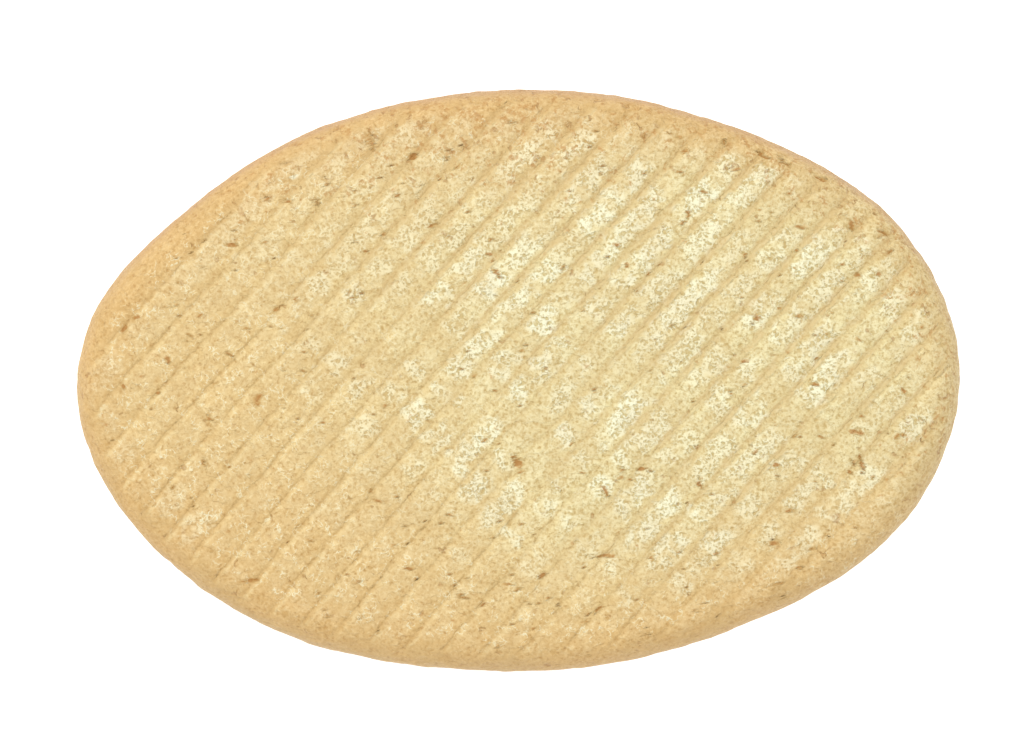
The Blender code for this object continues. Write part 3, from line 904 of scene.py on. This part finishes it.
def open_crumb(nodes, mark, noise):
    """The fine fissures, the rust-coloured flecks and the torn insides of the dents, as shares."""
    vein = nodes.ramp(nodes.away_from(noise["vein"], 0.5), 0.045, 0.005)
    gap = nodes.plus(noise["gap"], nodes.times(mark["cracked"], 0.08))
    fissure = nodes.times(vein, nodes.ramp(gap, 0.64, 0.76))
    rust = nodes.plus(noise["rust"], nodes.times(mark["cracked"], 0.17))
    rust = nodes.times(nodes.ramp(rust, 0.66, 0.78), nodes.ramp(noise["mottle"], 0.62, 0.40))
    ragged = nodes.times(nodes.minus(noise["mottle"], 0.5), 1.3)
    torn = nodes.plus(mark["open"], nodes.times(ragged, nodes.ramp(mark["open"], 0.0, 0.3)))
    return fissure, rust, torn


def crumb_tone(nodes, mark, noise, net, lit_lip):
    """How light each spot of the crumb is, from 0 in its shade to 1 in its light.

    Plain crumb is mottled, and lacy crumb follows the net of strands. Clumps, flakes and salt add to either.
    """
    mottle, golden = noise["mottle"], mark["golden"]
    plain = nodes.plus(nodes.ramp(mottle, 0.26, 0.46, 0.0, 0.5), nodes.ramp(mottle, 0.53, 0.68, 0.0, 0.5))
    lacy = nodes.ramp(golden, 0.0, 1.0, 0.50, 0.30)
    lacy = nodes.most(lacy, nodes.ramp(mark["glaze"], 0.0, 0.5))
    tone = nodes.between(lacy, plain, net)
    tone = nodes.plus(tone, nodes.ramp(noise["clump"], 0.3, 0.7, -0.05, 0.05))
    tone = nodes.plus(tone, nodes.ramp(noise["flake"], 0.2, 0.8, -0.04, 0.08))
    salt = nodes.times(nodes.ramp(mottle, 0.3, 0.7, -1.0, 1.0), nodes.ramp(golden, 0.0, 1.0, 0.15, 0.03))
    tone = nodes.plus(tone, salt)
    # Painted highlight on the groove lips
    tone = nodes.plus(tone, nodes.times(lit_lip, LIP_HIGHLIGHT_LIGHTENS))
    tone = nodes.plus(tone, nodes.times(mark["knob"], KNOB_LIGHTENS))
    return nodes.between(nodes.times(mark["smooth"], FLOOR_SETTLES), tone, FLOOR_TONE)


def crumb_colour(nodes, mark, tone):
    """The crumb's colour: from its shade to its light by the tone, each turned by toasting, and by glaze with
    its painted glints.
    """
    golden, toast, glaze = mark["golden"], mark["toast"], mark["glaze"]
    shade = nodes.mix(golden, seen(CRUMB_SHADE), seen(GOLDEN_SHADE))
    light = nodes.mix(golden, seen(CRUMB_LIGHT), seen(GOLDEN_LIGHT))
    shade = nodes.paint(toast, shade, TOASTED_SHADE)
    light = nodes.paint(toast, light, TOASTED_LIGHT)
    glaze_and_glint_gaps = nodes.times(glaze, nodes.ramp(golden, 0.0, 1.0, 1.0, 0.25))
    shade = nodes.paint(glaze_and_glint_gaps, shade, GLAZE_GLINT_SHADE)
    light = nodes.paint(glaze, light, GLAZE_GLINT_LIGHT)
    return nodes.mix(tone, shade, light)


def crust_spots(nodes, mark, noise, ridge, colour):
    """The crumb's colour with pale flecks and painted glints along the strands, soft blotches and dark specks
    over it.
    """
    golden = mark["golden"]
    fleck_and_glint = nodes.times(nodes.ramp(ridge, 0.045, 0.010), nodes.ramp(noise["clump"], 0.49, 0.61))
    fleck_and_glint = nodes.times(fleck_and_glint, nodes.ramp(mark["toast"], 0.95, 0.6))
    colour = nodes.paint(nodes.times(fleck_and_glint, nodes.ramp(golden, 0.0, 1.0, *FLECK_AND_GLINT_COVERS)), colour, FLECK_AND_GLINT)
    colour = nodes.paint(nodes.ramp(noise["blotch"], 0.62, 0.40, 0.0, BLOTCH_COVERS), colour, BLOTCH)
    speck = nodes.times(nodes.ramp(noise["speck"], 0.38, 0.30), nodes.ramp(golden, 0.0, 1.0, *SPECK_COVERS))
    return nodes.mix(speck, colour, nodes.mix(golden, seen(SPECK), seen(GOLDEN_SPECK)))


def baked_crust():
    """Golden short crust: toasted at the rim, smooth and tan with partly painted shade in the grooves, cream
    with painted glints where it is glazed.
    """
    material = bpy.data.materials.new("baked_crust")
    material.use_nodes = True
    tree = material.node_tree
    shader = tree.nodes["Principled BSDF"]
    nodes = Nodes(tree)
    point = nodes.add("ShaderNodeTexCoord").outputs["Object"]
    mark = {name: nodes.mark(name) for name in MARKS}
    noise = {name: nodes.noise(point, *settings) for name, settings in NOISES.items()}
    noise["flake"] = nodes.flakes(point)

    # Strands run where their noise passes its middle. Beads thicken them, and grit frays them
    ridge = nodes.away_from(noise["strand"], 0.5)
    frayed = nodes.minus(ridge, nodes.times(noise["grit"], 0.60))
    net = nodes.ramp(nodes.minus(frayed, nodes.times(noise["bead"], 0.34)), -0.205, -0.48)

    crease, lit_lip = groove_edges(nodes, mark, noise)
    fissure, rust, torn = open_crumb(nodes, mark, noise)
    # Glaze and its painted glints gather in islands, are weaker on golden crumb, and cover the knobs too
    glaze = nodes.times(mark["glaze"], nodes.ramp(noise["island"], 0.36, 0.56, 0.32, 1.06))
    glaze = nodes.times(glaze, nodes.ramp(mark["golden"], 0.0, 1.0, 1.0, 0.5))
    mark["glaze"] = nodes.most(glaze, mark["knob"])
    mark["smooth"] = nodes.times(mark["smooth"], nodes.ramp(noise["clump"], 0.38, 0.58, 0.35, 1.0))

    tone = crumb_tone(nodes, mark, noise, net, lit_lip)
    colour = crust_spots(nodes, mark, noise, ridge, crumb_colour(nodes, mark, tone))
    # Tan pressed floors, partly painted shade in the grooves
    colour = nodes.paint(nodes.times(mark["smooth"], FLOOR_AND_SHADE_COVERS), colour, PRESSED_FLOOR_AND_SHADE)
    # Painted highlight along each lip
    colour = nodes.paint(nodes.times(lit_lip, LIP_HIGHLIGHT_COVERS), colour, LIP_HIGHLIGHT)
    # Painted shade along each crease
    crease_shade = nodes.times(crease, nodes.ramp(mark["golden"], 0.0, 1.0, *CREASE_SHADE_COVERS))
    colour = nodes.paint(crease_shade, colour, CREASE_SHADE)
    colour = nodes.paint(nodes.times(rust, RUST_COVERS), colour, RUST)
    colour = nodes.paint(nodes.times(fissure, FISSURE_COVERS), colour, FISSURE)
    colour = nodes.paint(nodes.ramp(torn, 0.28, 0.60, 0.0, TORN_EDGE_COVERS), colour, TORN_EDGE)
    # Dent floors darken with depth: partly browner crumb, partly painted shade
    colour = nodes.paint(nodes.ramp(torn, 0.55, 0.95, 0.0, TORN_FLOOR_AND_SHADE_COVERS), colour, TORN_FLOOR_AND_SHADE)
    # Darker colour along the upper brink
    colour = nodes.paint(nodes.times(mark["upper_brink"], UPPER_BRINK_COVERS), colour, UPPER_BRINK_TINT)
    tree.links.new(colour, shader.inputs["Base Color"])

    gloss = nodes.ramp(nodes.times(net, mark["glaze"]), 0.0, 1.0, *CRUST_ROUGHNESS)
    tree.links.new(gloss, shader.inputs["Roughness"])
    shader.inputs["Specular IOR Level"].default_value = CRUST_SPECULAR

    height = nodes.times(tone, nodes.ramp(mark["glaze"], 0.0, 1.0, *TONE_HEIGHT))
    clumps = nodes.times(noise["clump"], nodes.ramp(mark["smooth"], 0.0, 1.0, *CLUMP_HEIGHT))
    flakes = nodes.times(noise["flake"], nodes.ramp(mark["smooth"], 0.0, 1.0, *FLAKE_HEIGHT))
    height = nodes.plus(nodes.plus(height, clumps), flakes)
    height = nodes.minus(height, nodes.times(crease, CREASE_CUT))
    height = nodes.minus(height, nodes.times(fissure, FISSURE_CUT))
    height = nodes.minus(height, nodes.times(nodes.ramp(torn, 0.0, 1.0), TORN_CUT))
    bump = nodes.add("ShaderNodeBump", {"Height": height, "Strength": 1.0, "Distance": BUMP_DEPTH})
    tree.links.new(bump.outputs["Normal"], shader.inputs["Normal"])
    return material


def plain_floor():
    """A wide, near-white floor at the height that the biscuit stands on."""
    mesh = bpy.data.meshes.new("floor")
    corners = [(x * FLOOR_REACH, y * FLOOR_REACH, 0.0) for x, y in ((-1, -1), (1, -1), (1, 1), (-1, 1))]
    mesh.from_pydata(corners, [], [(0, 1, 2, 3)])
    material = bpy.data.materials.new("floor_white")
    material.use_nodes = True
    shader = material.node_tree.nodes["Principled BSDF"]
    shader.inputs["Base Color"].default_value = (FLOOR_WHITE, FLOOR_WHITE, FLOOR_WHITE, 1.0)
    shader.inputs["Roughness"].default_value = 0.9
    shader.inputs["Specular IOR Level"].default_value = 0.0
    shader.inputs["Emission Color"].default_value = (1.0, 1.0, 1.0, 1.0)
    shader.inputs["Emission Strength"].default_value = FLOOR_GLOW
    mesh.materials.append(material)
    floor = bpy.data.objects.new("floor", mesh)
    bpy.context.scene.collection.objects.link(floor)


def lamp(name, place, size, power):
    """A square soft light at a place, turned towards the middle of the biscuit's face."""
    data = bpy.data.lights.new(name, "AREA")
    data.size = size
    data.energy = power
    light = bpy.data.objects.new(name, data)
    light.location = place
    towards = Vector((0.0, 0.0, THICKNESS)) - Vector(place)
    light.rotation_euler = towards.to_track_quat("-Z", "Y").to_euler()
    bpy.context.scene.collection.objects.link(light)


def studio():
    """A bright even room, a soft key light from the upper left, and a small high light for the glints."""
    world = bpy.data.worlds.new("studio")
    bpy.context.scene.world = world
    world.use_nodes = True
    background = world.node_tree.nodes["Background"]
    background.inputs["Color"].default_value = (1.0, 1.0, 1.0, 1.0)
    background.inputs["Strength"].default_value = ROOM_LIGHT
    lamp("key", *KEY_LAMP)
    lamp("glints", *GLINT_LAMP)


def overhead_camera():
    """A camera straight above, whose long side takes in a little more than the biscuit's length."""
    data = bpy.data.cameras.new("camera")
    data.lens = CAMERA_LENS
    data.sensor_width = CAMERA_SENSOR
    data.clip_start = 0.01
    camera = bpy.data.objects.new("camera", data)
    distance = CAMERA_VIEW * CAMERA_LENS / CAMERA_SENSOR
    camera.location = (*CAMERA_PLACE, RIM_HEIGHT + distance)
    bpy.context.scene.collection.objects.link(camera)
    bpy.context.scene.camera = camera


def main():
    """Builds the piece and its surroundings."""
    skin = biscuit_skin()
    skin.data.materials.append(baked_crust())
    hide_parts("biscuit")
    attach(skin, "root")
    plain_floor()
    studio()
    overhead_camera()
    bpy.context.scene.view_settings.view_transform = "Standard"


main()
